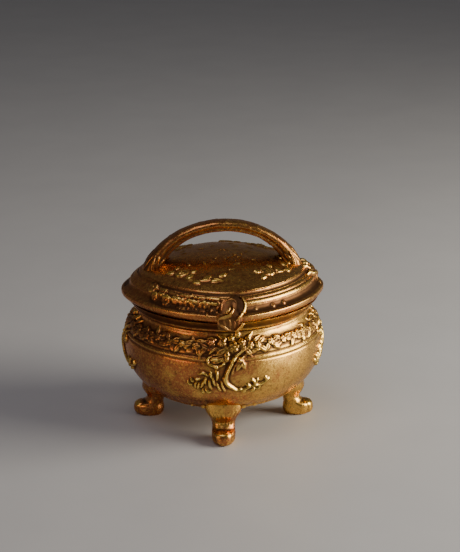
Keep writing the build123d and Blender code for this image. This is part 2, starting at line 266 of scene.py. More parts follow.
class Skin:
    """A casting's face as a grid. Rows run along it and columns run round it; relief is raised
    on it, in mm, before it becomes a mesh. Only rows from first to last carry relief."""

    def __init__(self, points, azimuth, scale, first=0, last=None):
        self.points, self.azimuth, self.scale = points, azimuth, scale
        step = np.linalg.norm(np.diff(points, axis=0), axis=2).mean(1)
        self.along = np.concatenate([[0], np.cumsum(step)])
        self.shown = slice(first, len(points) if last is None else last)
        self.ground = np.zeros(points.shape[:2])
        self.ornament = np.zeros(points.shape[:2])
        # painted shade where below nought and painted light where above, read by the material with the
        # relief's depth
        self.shade = np.zeros(points.shape[:2])

    def station(self, height):
        """Length along the shown rows at which the skin is this high."""
        return np.interp(height, self.points[self.shown, :, 2].mean(1), self.along[self.shown])

    def stamp(self, azimuth, station, reach, shape):
        """Raises the ornament to shape(x, y), x to the right of a place and y along the rows."""
        rows = np.arange(len(self.along))[self.shown]
        rows = rows[np.abs(self.along[rows] - station) < reach]
        away = (self.azimuth - azimuth + math.pi) % TURN - math.pi
        middle = np.interp(station, self.along, self.scale)
        columns = np.flatnonzero(np.abs(away) * middle < reach)
        if not len(rows) or not len(columns):
            return
        window = np.ix_(rows, columns)
        x = away[columns][None, :] * self.scale[rows][:, None]
        y = (self.along[rows] - station)[:, None] + 0 * x
        self.ornament[window] = np.maximum(self.ornament[window], shape(x, y))

    def cell(self):
        """Mean spacing of the shown rows and columns."""
        row = np.diff(self.along[self.shown]).mean()
        return row, self.scale[self.shown].mean() * TURN / len(self.azimuth)

    def normals(self):
        up = np.gradient(self.points, axis=0)
        across = np.roll(self.points, -1, 1) - np.roll(self.points, 1, 1)
        out = np.cross(across, up)
        return out / np.maximum(np.linalg.norm(out, axis=2, keepdims=True), 1e-9)

    def roughen(self, height, size, seed):
        """Slow unevenness of a hand-finished casting."""
        row, column = self.cell()
        noise = np.random.default_rng(seed).normal(size=self.ground.shape)
        noise = blur(noise, size / row, size / column)
        self.ground[self.shown] += height * (noise / noise.std())[self.shown]

    def soften(self, size):
        """Wears the ornament's edges round."""
        row, column = self.cell()
        self.ornament[self.shown] = np.maximum(blur(self.ornament, size / row, size / column)[self.shown], 0)

    def raised(self):
        return self.points + (self.ground + self.ornament)[:, :, None] * self.normals()

    def cavity(self):
        """How far the relief stands over its surroundings, below nought in the hollows, plus the painted
        shade and painted light.
        """
        row, column = self.cell()
        relief = self.ground + self.ornament
        return relief - blur(relief, 1.0 / row, 1.0 / column) + self.shade

    def mesh(self, name, material, points=None, poles=False):
        """The finished piece: rows close on each other in a loop, or on a pole at each end."""
        points = self.raised() if points is None else points
        count, around = self.ground.shape
        index = np.arange(count * around).reshape(count, around)
        lower, upper = (index[:-1], index[1:]) if poles else (index, np.roll(index, -1, 0))
        faces = np.stack([lower, np.roll(lower, -1, 1), np.roll(upper, -1, 1), upper], 2)
        faces = faces.reshape(-1, 4).tolist()
        places = points.reshape(-1, 3)
        if poles:
            low, high = count * around, count * around + 1
            places = np.concatenate([places, points[[0, -1]].mean(1)])
            faces += [(int(b), int(a), low) for a, b in zip(index[0], np.roll(index[0], -1))]
            faces += [(int(a), int(b), high) for a, b in zip(index[-1], np.roll(index[-1], -1))]
        cavity = np.append(self.cavity().ravel(), [0.0, 0.0] if poles else [])
        return new_piece(name, places, faces, material, cavity)


def ring_skin(rows, columns, pull, turn=0.0, first=0, last=None):
    """A skin of revolution whose rows (radius, height, squareness) follow a casting's plan."""
    radius, height, square = np.array(rows, float).T
    azimuth = np.arange(columns) * TURN / columns
    share = 1 + square[:, None] * (plan_share(azimuth, pull)[None, :] - 1)
    reach = radius[:, None] * share
    points = np.stack([
        reach * np.cos(azimuth),
        reach * np.sin(azimuth),
        np.repeat(height[:, None], columns, 1),
    ], 2)
    return Skin(turned(points, turn), azimuth, reach.mean(1), first, last)


# Shapes of the relief, as heights over a place


def dome(distance, radius, height):
    return height * np.sqrt(np.clip(1 - (distance / np.maximum(radius, 1e-6)) ** 2, 0, 1))


def bead(radius, height):
    return lambda x, y: dome(np.hypot(x, y), radius, height)


def blossom(radius, height, spin=0.0, petals=5):
    """Round petals about a small heart."""
    def shape(x, y):
        tall = dome(np.hypot(x, y), 0.30 * radius, 1.05 * height)
        for number in range(petals):
            heading = spin + TURN * number / petals
            gap = np.hypot(x - 0.56 * radius * math.cos(heading), y - 0.56 * radius * math.sin(heading))
            petal = dome(gap, 0.44 * radius, height) * (0.72 + 0.28 * np.clip(gap / (0.3 * radius), 0, 1))
            tall = np.maximum(tall, petal)
        return tall
    return shape


def placed(shape, x0=0.0, y0=0.0, spin=0.0):
    """The same shape turned and moved."""
    c, s = math.cos(spin), math.sin(spin)

    def moved(x, y):
        dx, dy = x - x0, y - y0
        return shape(c * dx + s * dy, -s * dx + c * dy)
    return moved


def together(shapes):
    def shape(x, y):
        height = np.zeros_like(x)
        for one in shapes:
            height = np.maximum(height, one(x, y))
        return height
    return shape


def leaf(length, width, height, curl=0.0):
    """A pointed leaf from the origin along +x, with a sunk midrib."""
    def shape(x, y):
        s = np.clip(x / length, 0, 1)
        off = y - curl * length * s**2
        body = dome(np.abs(off), width * np.sin(math.pi * s**0.7), height)
        body = body * np.where((x > 0) & (x < length), 1, 0)
        return body * (1 - 0.45 * bump(off, 0, 0.35))
    return shape


def strand(points, width, height, taper=0.35):
    """A rounded strand along the curve through some points, thinner at its ends."""
    path = smooth_curve(points, 60)
    t = np.linspace(-1, 1, len(path))
    wide = width * (taper + (1 - taper) * np.cos(t * math.pi / 2) ** 0.7)

    def shape(x, y):
        gap = np.hypot(x[..., None] - path[:, 0], y[..., None] - path[:, 1])
        share = gap / np.maximum(wide, 1e-6)
        nearest = share.argmin(-1)
        least = np.take_along_axis(share, nearest[..., None], -1)[..., 0]
        return height * (wide / width)[nearest] ** 0.5 * np.sqrt(np.clip(1 - least**2, 0, 1))
    return shape


# Materials


def set_inputs(node, values):
    for key, value in values.items():
        node.inputs[key].default_value = value


def mix_colour(tree, factor, first, second):
    made = tree.nodes.new("ShaderNodeMix")
    made.data_type = "RGBA"
    for socket, value in ((made.inputs[0], factor), (made.inputs[6], first), (made.inputs[7], second)):
        if isinstance(value, bpy.types.NodeSocket):
            tree.links.new(value, socket)
        else:
            socket.default_value = value
    return made.outputs[2]


def mapped(tree, value, low, high, to_low=0.0, to_high=1.0):
    made = tree.nodes.new("ShaderNodeMapRange")
    tree.links.new(value, made.inputs["Value"])
    set_inputs(made, {"From Min": low, "From Max": high, "To Min": to_low, "To Max": to_high})
    return made.outputs["Result"]


def sum_of(tree, first, second):
    made = tree.nodes.new("ShaderNodeMath")
    made.operation = "ADD"
    tree.links.new(first, made.inputs[0])
    tree.links.new(second, made.inputs[1])
    return made.outputs[0]


def noise_at(tree, place, size, detail=3.0, rough=0.55):
    made = tree.nodes.new("ShaderNodeTexNoise")
    tree.links.new(place, made.inputs["Vector"])
    set_inputs(made, {"Scale": 1 / (size * MM), "Detail": detail, "Roughness": rough})
    return made.outputs["Fac"]


def bumped(tree, shader, layers):
    """Bump layers, each a height, a strength and a depth in mm, chained into the shader."""
    normal = None
    for height, strength, depth in layers:
        made = tree.nodes.new("ShaderNodeBump")
        set_inputs(made, {"Strength": strength, "Distance": depth * MM})
        tree.links.new(height, made.inputs["Height"])
        if normal:
            tree.links.new(normal, made.inputs["Normal"])
        normal = made.outputs["Normal"]
    tree.links.new(normal, shader.inputs["Normal"])


def two_tone(tree, shader, noise, low, high, first, second):
    """Colours the shader from the first to the second as a noise goes from low to high."""
    colour = mix_colour(tree, mapped(tree, noise, low, high), first, second)
    tree.links.new(colour, shader.inputs["Base Color"])


def new_material(name):
    made = bpy.data.materials.new(name)
    made.use_nodes = True
    tree = made.node_tree
    place = tree.nodes.new("ShaderNodeTexCoord").outputs["Object"]
    return made, tree, tree.nodes["Principled BSDF"], place


# Colours, in linear light
BRIGHT = (0.96, 0.66, 0.15, 1)
GOLD = (0.76, 0.42, 0.10, 1)
DULL_GOLD = (0.58, 0.27, 0.085, 1)
COPPER = (0.48, 0.17, 0.06, 1)
BROWN = (0.065, 0.030, 0.016, 1)
WARM_GLINT = (1.0, 0.86, 0.78, 1)
SILK, SILK_SHADE = (0.74, 0.61, 0.43, 1), (0.63, 0.50, 0.34, 1)
BOARD, BOARD_FIBRE = (0.44, 0.34, 0.22, 1), (0.60, 0.49, 0.34, 1)
BRASS, BRASS_TARNISH = (0.72, 0.55, 0.26, 1), (0.38, 0.26, 0.10, 1)
FLOOR_GREY, FLOOR_PALE = (0.40, 0.40, 0.45, 1), (0.42, 0.42, 0.47, 1)
ROOM_GREY = (0.36, 0.35, 0.34, 1)
SHADED_SIDE = 0.05  # metres from the middle over which a painted shade turns the gilding copper towards -X


def gilt(name, middle, warmth, crest_highlight_gain=0.85):
    """Antique gilt: brown in the hollows as patina and painted shade, copper where the gilding wears through
    in patches and in a painted shade towards -X, and a painted highlight on the crests.
    """
    made, tree, shader, place = new_material(name)
    cavity = tree.nodes.new("ShaderNodeAttribute")
    cavity.attribute_name = "cavity"
    depth = cavity.outputs["Fac"]
    patches = noise_at(tree, place, size=15.0, detail=5.0, rough=0.62)
    mottle = noise_at(tree, place, size=1.3, detail=5.0, rough=0.68)
    grit = noise_at(tree, place, size=0.45, detail=3.0, rough=0.7)
    tarnish = noise_at(tree, place, size=2.4, detail=6.0, rough=0.72)
    parted = tree.nodes.new("ShaderNodeSeparateXYZ")
    tree.links.new(place, parted.inputs[0])
    # Painted shade: more copper towards -X and less towards +X, laid over the random patches of worn gilding
    side = mapped(tree, parted.outputs["X"], -SHADED_SIDE, SHADED_SIDE, 0.28, -0.16)
    copper_wear_and_shade = mapped(tree, sum_of(tree, patches, side), 0.50 - warmth, 0.66 - warmth)
    hollow = mapped(tree, depth, -0.02, -0.32, 0.0, 0.95)
    layers = [
        (copper_wear_and_shade, COPPER),
        (mapped(tree, mottle, 0.50, 0.68, 0.0, 0.5), BRIGHT),
        # painted highlight on the crests
        (mapped(tree, depth, 0.05, 0.40, 0.0, crest_highlight_gain), BRIGHT),
        (mapped(tree, tarnish, 0.52, 0.66, 0.0, 0.6), BROWN),
        # brown in the hollows: patina, deepened by painted shade
        (hollow, BROWN),
        (mapped(tree, grit, 0.55, 0.70, 0.0, 0.6), BROWN),
    ]
    colour = middle
    for factor, over in layers:
        colour = mix_colour(tree, factor, colour, over)
    tree.links.new(colour, shader.inputs["Base Color"])
    set_inputs(shader, {"Metallic": 1.0, "Specular Tint": WARM_GLINT})
    uneven = mapped(tree, mottle, 0.3, 0.7, 0.19, 0.33)
    matt = mapped(tree, hollow, 0.0, 1.0, 0.0, 0.25)
    tree.links.new(sum_of(tree, uneven, matt), shader.inputs["Roughness"])
    bumped(tree, shader, [(mottle, 0.5, 0.12), (grit, 0.6, 0.06)])
    return made


def silk(name):
    made, tree, shader, place = new_material(name)
    weave = tree.nodes.new("ShaderNodeTexWave")
    weave.wave_type, weave.bands_direction = "BANDS", "DIAGONAL"
    set_inputs(weave, {"Scale": 1 / (0.9 * MM), "Distortion": 0.4})
    tree.links.new(place, weave.inputs["Vector"])
    cloud = noise_at(tree, place, size=14.0, detail=3.0)
    two_tone(tree, shader, cloud, 0.35, 0.7, SILK, SILK_SHADE)
    sheen = {"Sheen Weight": 0.35, "Sheen Roughness": 0.35}
    set_inputs(shader, {"Roughness": 0.38, "Anisotropic": 0.5, **sheen})
    bumped(tree, shader, [(weave.outputs["Fac"], 0.15, 0.05)])
    return made


def board(name):
    made, tree, shader, place = new_material(name)
    fibre = noise_at(tree, place, size=1.2, detail=6.0, rough=0.7)
    two_tone(tree, shader, fibre, 0.3, 0.7, BOARD, BOARD_FIBRE)
    set_inputs(shader, {"Roughness": 0.85})
    bumped(tree, shader, [(fibre, 0.4, 0.05)])
    return made


def screw_metal(name):
    made, tree, shader, place = new_material(name)
    tarnish = noise_at(tree, place, size=1.5, detail=4.0)
    two_tone(tree, shader, tarnish, 0.4, 0.7, BRASS, BRASS_TARNISH)
    set_inputs(shader, {"Metallic": 1.0})
    tree.links.new(mapped(tree, tarnish, 0.4, 0.7, 0.28, 0.5), shader.inputs["Roughness"])
    return made


bowl_gilt = gilt("antique_gilt_bowl", GOLD, warmth=0.02)
lid_gilt = gilt("antique_gilt_lid", DULL_GOLD, warmth=0.08, crest_highlight_gain=0.6)
handle_gilt = gilt("antique_gilt_handle", DULL_GOLD, warmth=0.10)
foot_gilt = gilt("antique_gilt_feet", GOLD, warmth=-0.02)
lining_silk = silk("champagne_silk")
lining_board = board("brown_board")
screw_brass = screw_metal("screw_brass")


# Bowl

# One run of random draws, taken in the order in which the pieces are made
draws = np.random.default_rng(11)

# Strokes of a corner's ornament, in mm about its middle: a fan of feathers at its left, then its sprig
FEATHERS = [
    [(-3.4, 0.4), (-3.0, -2.2), (-3.3, -5.0)], [(-7.0, -5.2), (-7.0, -7.8), (-5.8, -10.4)],
    [(-10.0, -5.8), (-10.8, -7.8), (-11.5, -9.8)], [(-13.6, -6.4), (-14.6, -8.2), (-14.6, -10.4)],
    [(-17.0, -4.6), (-16.4, -5.8), (-15.4, -6.9)], [(-8.8, -10.8), (-8.2, -11.8), (-6.6, -12.6)],
    [(-3.4, -6.2), (-2.4, -8.8), (-1.4, -11.2)], [(-5.2, -3.2), (-4.8, -6.0), (-4.0, -8.0)],
    [(-8.6, -3.4), (-9.2, -5.2), (-9.0, -7.4)], [(-12.6, -2.2), (-10.4, -1.2), (-7.6, -2.6)],
    [(-12.0, -4.4), (-13.0, -5.0), (-14.6, -4.8)], [(-0.8, -5.4), (-0.4, -8.2), (0.9, -11.6)],
    [(-12.2, -7.0), (-13.0, -9.0), (-13.0, -11.0)], [(-18.6, -6.6), (-17.8, -8.0), (-16.6, -8.8)],
    [(-10.2, -10.8), (-10.6, -12.0), (-9.8, -13.2)], [(-6.2, -0.2), (-6.4, -2.0), (-5.6, -3.8)],
]
SPRIG = [
    [(7.6, -11.0), (11.0, -10.8), (15.0, -9.2), (19.5, -9.0), (24.6, -6.4)],
    [(14.8, -5.4), (16.2, -7.0), (16.6, -9.0)], [(18.2, -5.6), (17.2, -7.2), (16.6, -9.2)],
    [(12.0, -8.2), (13.2, -8.8), (14.0, -10.0)], [(17.0, -11.4), (18.6, -11.0), (19.4, -9.4)],
    [(14.2, -12.6), (15.4, -12.2), (16.0, -10.6)], [(22.4, -5.2), (23.2, -6.4), (23.0, -7.8)],
    [(9.6, -12.6), (10.6, -12.4), (11.4, -11.0)],
]


def cartouche():
    """The ornament of a corner: a bold C-scroll, a ribbed scroll behind it, feathers and flowers."""
    parts = [
        strand([(12.6, 11.4), (8.8, 9.4), (5.6, 6.4), (3.4, 2.2), (1.6, -2.2), (1.6, -5.8), (4.0, -8.8),
                (7.0, -11.0), (9.0, -10.6)], 1.05, 1.8, 0.5),
        strand([(0.2, -3.6), (1.6, -6.6), (4.4, -9.2), (6.6, -10.6)], 1.2, 1.6),
        strand([(13.6, 8.8), (10.2, 7.0), (7.0, 4.4), (5.2, 1.2), (4.4, -2.0)], 0.6, 1.0),
        strand([(-2.8, 12.4), (-4.8, 11.0), (-7.2, 8.8)], 0.8, 1.5),
        strand([(-5.2, 7.6), (-7.6, 6.8), (-8.0, 5.2), (-6.6, 3.4), (-3.6, 2.4)], 0.75, 1.4),
        strand([(-2.0, 2.8), (-0.6, 3.4), (1.0, 5.2)], 0.65, 1.4),
        placed(bead(1.2, 1.3), -3.4, 2.2),
        placed(leaf(6.4, 1.5, 1.5, -0.1), 9.2, 5.6, math.radians(252)),
        placed(leaf(5.6, 1.5, 1.5, 0.1), 9.2, 5.6, math.radians(288)),
    ]
    for rib in range(4):
        rise = 1.3 * rib
        parts.append(strand([(-6.4, 4.6 + rise), (-3.4, 4.6 + rise), (0.6, 6.2 + rise)], 0.5, 0.9))
    parts += [strand(path, 0.62, 1.5, 0.5) for path in FEATHERS]
    parts += [strand(path, 0.75, 1.35, 0.5) for path in SPRIG]
    for x0, y0, radius in ((5.6, 12.4, 2.9), (9.4, 14.6, 2.4), (-0.6, 14.8, 2.3), (14.0, 12.6, 2.2),
                           (4.0, 17.4, 1.9), (-6.0, 14.4, 2.1), (13.0, 16.6, 1.8)):
        parts.append(placed(blossom(radius, 1.7, 0.7 * x0), x0, y0))
    for x0, y0, heading in ((1.6, 16.0, 130), (7.0, 17.0, 70), (11.4, 15.8, 30), (-3.4, 16.2, 160),
                            (1.6, 11.6, 205), (-8.6, 12.0, 215), (2.4, 10.4, 250), (16.0, 11.0, -20),
                            (15.2, 14.6, 20), (-9.4, 15.0, 165)):
        parts.append(placed(leaf(5.4, 1.4, 1.3, 0.25), x0, y0, math.radians(heading)))
    return together(parts)


def posy(radius, room, height, length):
    """A blossom among leaves, placed and turned a little differently each time."""
    jitter = draws.uniform(-1, 1, 10)
    size = radius * (1 + 0.18 * jitter[0])
    y0 = 0.35 * room * jitter[1]
    parts = [placed(blossom(size, height * (1 + 0.2 * jitter[8]), 3 * jitter[2]), 0, y0)]
    for number, heading in enumerate((30, 150, 210, 330)):
        turn = math.radians(heading + 28 * jitter[3 + number])
        x1, y1 = 0.6 * size * math.cos(turn), y0 + 0.6 * size * math.sin(turn)
        tall = height * (0.65 + 0.25 * jitter[(number + 5) % 9])
        parts.append(placed(leaf(length, 0.30 * length, tall, 0.35 * jitter[7]), x1, y1, turn))
    return together(parts)


def garland(skin, station, spacing, radius, room, height):
    """Posies all the way round a band, with buds between them."""
    middle = np.interp(station, skin.along, skin.scale)
    count = round(TURN * middle / spacing)
    for number in range(count):
        azimuth = TURN * (number + 0.5) / count
        skin.stamp(azimuth, station, 3 * spacing, posy(radius, room, height, 0.66 * spacing))
        lift = room * (1 if number % 2 else -1) * draws.uniform(0.5, 1.0)
        bud = leaf(0.5 * spacing, 0.16 * spacing, 0.8 * height, draws.uniform(-0.3, 0.3))
        heading = draws.uniform(-0.9, 0.9) + (math.pi if number % 3 else 0)
        skin.stamp(azimuth + 0.5 * spacing / middle, station, 3 * spacing, placed(bud, 0, lift, heading))


def flowered(skin, start, stop, low, high, spacing, radius, height):
    """A field of small blossoms and leaves between two stations, none quite in line."""
    middle = np.interp((low + high) / 2, skin.along, skin.scale)
    lines = max(1, round((high - low) / spacing))
    count = round((stop - start) * middle / spacing)
    for line in range(lines + 1):
        for number in range(count):
            jitter = draws.uniform(-0.5, 0.5, 5)
            azimuth = start + (number + 0.5 + 0.5 * (line % 2) + 0.5 * jitter[0]) * spacing / middle
            station = low + (high - low) * line / lines + 0.5 * spacing * jitter[1]
            size = radius * (1 + 0.6 * jitter[2])
            if number % 4 == line % 4:
                shape = leaf(2.6 * size, 0.9 * size, 0.9 * height, jitter[3])
                shape = placed(shape, -size * math.cos(TURN * jitter[4]), 0, TURN * jitter[4])
            else:
                shape = blossom(size, height * (1 + 0.5 * jitter[3]), TURN * jitter[4])
            skin.stamp(azimuth, station, 4 * radius, shape)


def dress_bowl(skin):
    """Relief of the bowl's outside, the same on the grids above and below the double line."""
    shown = skin.shown
    heights = skin.points[shown, :, 2].mean(1)
    skin.ground[shown] += soft_lines(heights, BOWL_LINES)[:, None]
    skin.roughen(height=0.04, size=2.0, seed=5)
    if heights.max() > BAND_HEIGHT:
        # Painted shade over the band of flowers and the rim
        skin.shade[shown] -= soft_lines(heights, BAND_SHADE)[:, None]
        garland(skin, skin.station(BAND_HEIGHT), spacing=8.0, radius=2.2, room=2.8, height=1.4)
    else:
        low = skin.station(BEAD_HEIGHT)
        for quarter in range(4):
            for degrees, size in ((-24, 1.0), (-15, 1.5), (15, 1.5), (24, 1.0)):
                azimuth = quarter * TURN / 4 + math.radians(degrees)
                skin.stamp(azimuth, low, 3.0, bead(size, 0.7 * size))
    middle = skin.station(LINE_HEIGHT) - (LINE_HEIGHT - CARTOUCHE_HEIGHT)
    for quarter in range(4):
        skin.stamp(quarter * TURN / 4, middle, 30.0, cartouche())
    skin.soften(0.15)
    return skin


# The bowl's outline as fine points, and the one where its two grids meet
bowl_curve = smooth_curve(BOWL_OUTLINE, 400)
split = int(np.argmin(np.abs(bowl_curve[:, 1] - LINE_HEIGHT)))


def outline_rows(curve, count):
    return [(radius, height, 1.0) for radius, height in evenly(curve, count)]


def inner_radius(height):
    """Radius of the bowl's hollow at a height."""
    inside = bowl_curve[:, 0] * (1 - BOWL_PULL) - WALL
    return float(np.interp(height, bowl_curve[:, 1], inside))


def bowl_belly():
    """The bowl below the double line, inside and out."""
    start = spread([(POLE, UNDERSIDE, 1.0), (UNDERSIDE_RADIUS, UNDERSIDE, 1.0)], 4.0)
    outside = outline_rows(bowl_curve[:split + 1], 104)
    inside = [(inner_radius(z), z, 0.0) for z in np.linspace(LINE_HEIGHT, HOLLOW_BOTTOM, 12)]
    end = spread([(FLOOR_EDGE, FLOOR_HEIGHT, 0.0), (POLE, FLOOR_HEIGHT, 0.0)], 7.0)
    first = len(start)
    skin = ring_skin(start + outside + inside + end, COLUMNS, BOWL_PULL, 0.0, first, first + len(outside))
    return dress_bowl(skin).mesh("bowl_belly", bowl_gilt, poles=True)


def bowl_band():
    """The bowl above the double line, inside and out."""
    outside = outline_rows(bowl_curve[split:], 84)
    neck = spread([RIM_TOP[-1], (MOUTH, NECK_HEIGHT, 0.0)], 1.5)[1:]
    inside = [(inner_radius(z), z, 0.0) for z in np.linspace(HOLLOW_TOP, LINE_HEIGHT, 6)]
    rows = outside[:-1] + RIM_TOP + neck + inside
    skin = ring_skin(rows, COLUMNS, BOWL_PULL, last=len(outside))
    return dress_bowl(skin).mesh("bowl_band", bowl_gilt)


belly = bowl_belly()
band = bowl_band()
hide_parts("body_shell")
for piece in (belly, band):
    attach(piece, "case")


# Lid

# The mouldings' outline as fine points, without the points that they share
lid_curve = np.concatenate([smooth_curve(points, 80)[min(number, 1):]
                            for number, points in enumerate(LID_MOULDINGS)])


def dome_height(radius):
    return DOME_BASE_HEIGHT + DOME_RISE * (1 - (radius / DOME_BASE) ** 2)


def roof_height(radius):
    """Height of the hollow's roof under the dome."""
    rise = ROOF_TOP - ROOF_FOOT_HEIGHT
    bend = (ROOF_FOOT_RADIUS**2 + rise**2) / (2 * rise)
    return ROOF_TOP - bend + math.sqrt(bend**2 - radius**2)


def acanthus():
    """Leaves that run out from the handle's right root to the lid's corner, with a knob."""
    parts = [
        placed(bead(2.6, 2.2), 0.0, -1.8),
        placed(bead(1.6, 1.7), -4.0, 0.4),
        placed(bead(1.6, 1.7), 4.2, 0.0),
    ]
    for number, heading in enumerate((28, 62, 90, 118, 152)):
        blade = leaf(10.0, 2.2, 2.2, 0.1 * (number - 2))
        parts.append(placed(blade, 1.2 * (2 - number), 0.0, math.radians(heading)))
    for heading in (-28, 208):
        parts.append(placed(leaf(9.5, 2.0, 1.6, 0.2), 0.0, -0.5, math.radians(heading)))
    return together(parts)


def lid_edge():
    """The lid up to the dome's foot: spigot, seat, lip, mouldings and the hollow inside."""
    bottom = SPIGOT_BOTTOM + SPIGOT_BEVEL
    under = spread([(SPIGOT_INSIDE, LEDGE_HEIGHT, 0.0), (SPIGOT_INSIDE, bottom, 0.0)], 1.5)
    under.append((SPIGOT_INSIDE + SPIGOT_BEVEL, SPIGOT_BOTTOM, 0.0))
    under.append((SPIGOT_OUTSIDE - SPIGOT_BEVEL, SPIGOT_BOTTOM, 0.0))
    under += spread([(SPIGOT_OUTSIDE, bottom, 0.0), (SPIGOT_OUTSIDE, LID_SEAT, 0.0)], 1.5)
    under += SEAT_AND_LIP
    outside = outline_rows(lid_curve, 104)
    inside = [ROOF_EDGE, (ROOF_FOOT_RADIUS, ROOF_FOOT_HEIGHT, 0.0),
              (LEDGE_RADIUS, LEDGE_TOP, 0.0), (LEDGE_RADIUS, LEDGE_HEIGHT, 0.0)]
    first = len(under)
    skin = ring_skin(under + outside + inside, COLUMNS, LID_PULL, LID_TURN, first, first + len(outside))
    heights = skin.points[skin.shown, :, 2].mean(1)
    plain = 1 - FADE * bump(np.degrees(skin.azimuth) % 180, FADE_MIDDLE, FADE_WIDTH)
    skin.ground[skin.shown] += soft_lines(heights, EDGE_LINES)[:, None] * plain
    # Painted shade in the channels and on the lip and painted light on the ridge, fading with the lines
    dark = HOLLOW_SHADE * np.minimum(soft_lines(heights, EDGE_HOLLOWS), 1)
    skin.shade[skin.shown] += (soft_lines(heights, EDGE_SHADE) - dark)[:, None] * plain
    skin.roughen(height=0.04, size=2.0, seed=6)
    channel = skin.station(CHANNEL_HEIGHT)
    slope = skin.station(RIDGE_FOOT_HEIGHT)
    ridge = skin.station(RIDGE_HEIGHT)
    roses = ((211, ridge + 1.2, 3.4), (216, slope - 0.6, 2.6), (221, ridge + 0.6, 2.8),
             (226, slope - 1.0, 3.4), (233, slope + 0.4, 3.0))
    for half in (0, math.pi):
        start, stop = math.radians(234) + half, math.radians(262) + half
        flowered(skin, start, stop, channel - 1.2, ridge + 0.8, spacing=2.1, radius=1.25, height=0.75)
        for degrees, place, size in roses:
            skin.stamp(math.radians(degrees) + half, place, 6.0, blossom(size, 1.1, degrees, petals=7))
        for degrees, size in ((284, 0.9), (296, 1.5), (304.5, 1.4)):
            skin.stamp(math.radians(degrees) + half, channel - 0.6, 3.0, bead(size, 0.55 * size))
    skin.stamp(0, slope + 1.0, 14.0, acanthus())
    skin.soften(0.17)
    return skin.mesh("lid_edge", lid_gilt)


def spray():
    """A rose with a curved stem and leaves, laid on the dome, its stem along +x."""
    parts = [
        placed(blossom(4.4, 1.1, 0.4, petals=9), 0, 0.6),
        placed(blossom(2.6, 1.6, 0.9), 0, 0.6),
        placed(blossom(2.0, 0.9, 0.1), -5.6, 2.6),
        placed(blossom(1.8, 0.9, 0.9), 5.4, 3.6),
        strand([(2.0, -2.0), (7.5, -3.6), (13.5, -3.4), (19.5, -1.2), (22.0, 1.2)], 0.6, 0.7),
    ]
    for x0, y0, heading, length in ((6.0, -3.4, 60, 5.0), (11.5, -3.5, -40, 5.4), (15.5, -2.8, 66, 5.6),
                                    (19.5, -1.2, -14, 5.4), (-3.4, -1.0, 200, 6.4), (21.5, 1.2, 70, 4.6)):
        parts.append(placed(leaf(length, 2.0, 1.0, 0.22), x0, y0, math.radians(heading)))
    return together(parts)


def lid_dome():
    """The dome with its sprays, and the roof inside it."""
    radii = np.concatenate([np.linspace(DOME_BASE, 4.0, 118), np.linspace(3.5, 0.6, 5)])
    inside = [(r, roof_height(r), 0.0) for r in (POLE, 12.0, 24.0, 33.0, ROOF_FOOT_RADIUS)]
    inside.append(ROOF_EDGE)
    rows = inside + [(r, dome_height(r), 1.0) for r in radii]
    skin = ring_skin(rows, DOME_COLUMNS, LID_PULL, LID_TURN, len(inside))
    skin.roughen(height=0.05, size=2.2, seed=7)
    skin.ground[len(inside)] = 0
    # Painted light: the whole dome is made lighter
    skin.shade[skin.shown] += DOME_SHADE

    def place(radius):
        return np.interp(-radius, -radii, skin.along[skin.shown])

    for number in range(4):
        skin.stamp(math.radians(222 + 90 * number), place(34.0), 27.0, spray())
    for number in range(22):
        blade = placed(leaf(3.0, 0.8, 0.45, 0.3), 0, 0, draws.uniform(0, TURN))
        bit = together([blade, bead(0.7, 0.45)])
        skin.stamp(draws.uniform(0, TURN), place(draws.uniform(7, 26)), 4.0, bit)
    skin.soften(0.14)
    return skin.mesh("lid_dome", lid_gilt, poles=True)


edge = lid_edge()
top = lid_dome()
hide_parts("lid_shell")
for piece in (edge, top):
    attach(piece, "lid")


# Shell ornament at the lid's front


def shell_carving():
    """The shell's scrolls and ribs, y up from its foot."""
    return together([
        strand([(4.2, 18.6), (6.0, 15.2), (6.0, 11.8), (3.8, 8.6), (1.0, 6.4)], 1.0, 1.7),
        strand([(5.0, 5.8), (3.8, 3.2), (0.6, 0.2)], 1.2, 1.7),
        strand([(-0.4, 13.6), (-0.2, 11.4), (-1.8, 9.0), (-4.8, 7.8), (-8.4, 7.2)], 0.75, 1.5),
        strand([(-2.2, 13.2), (-2.2, 11.6), (-3.4, 10.0), (-5.4, 9.4)], 0.55, 1.2),
        strand([(-6.4, 11.4), (-6.2, 14.6), (-3.8, 17.0), (-0.4, 17.4), (1.6, 15.4)], 0.9, 0.55),
        strand([(-8.4, 7.0), (-8.4, 5.0), (-6.0, 3.6), (-3.8, 1.6), (0.4, 0.4)], 0.8, 0.5),
        strand([(-5.4, 6.6), (-4.6, 3.8)], 0.6, 0.35),
        strand([(-2.6, 6.8), (-2.0, 2.2)], 0.6, 0.3),
        strand([(0.0, 6.0), (0.2, 2.0)], 0.6, 0.3),
        strand([(2.4, 7.6), (2.0, 3.2)], 0.6, 0.4),
    ])


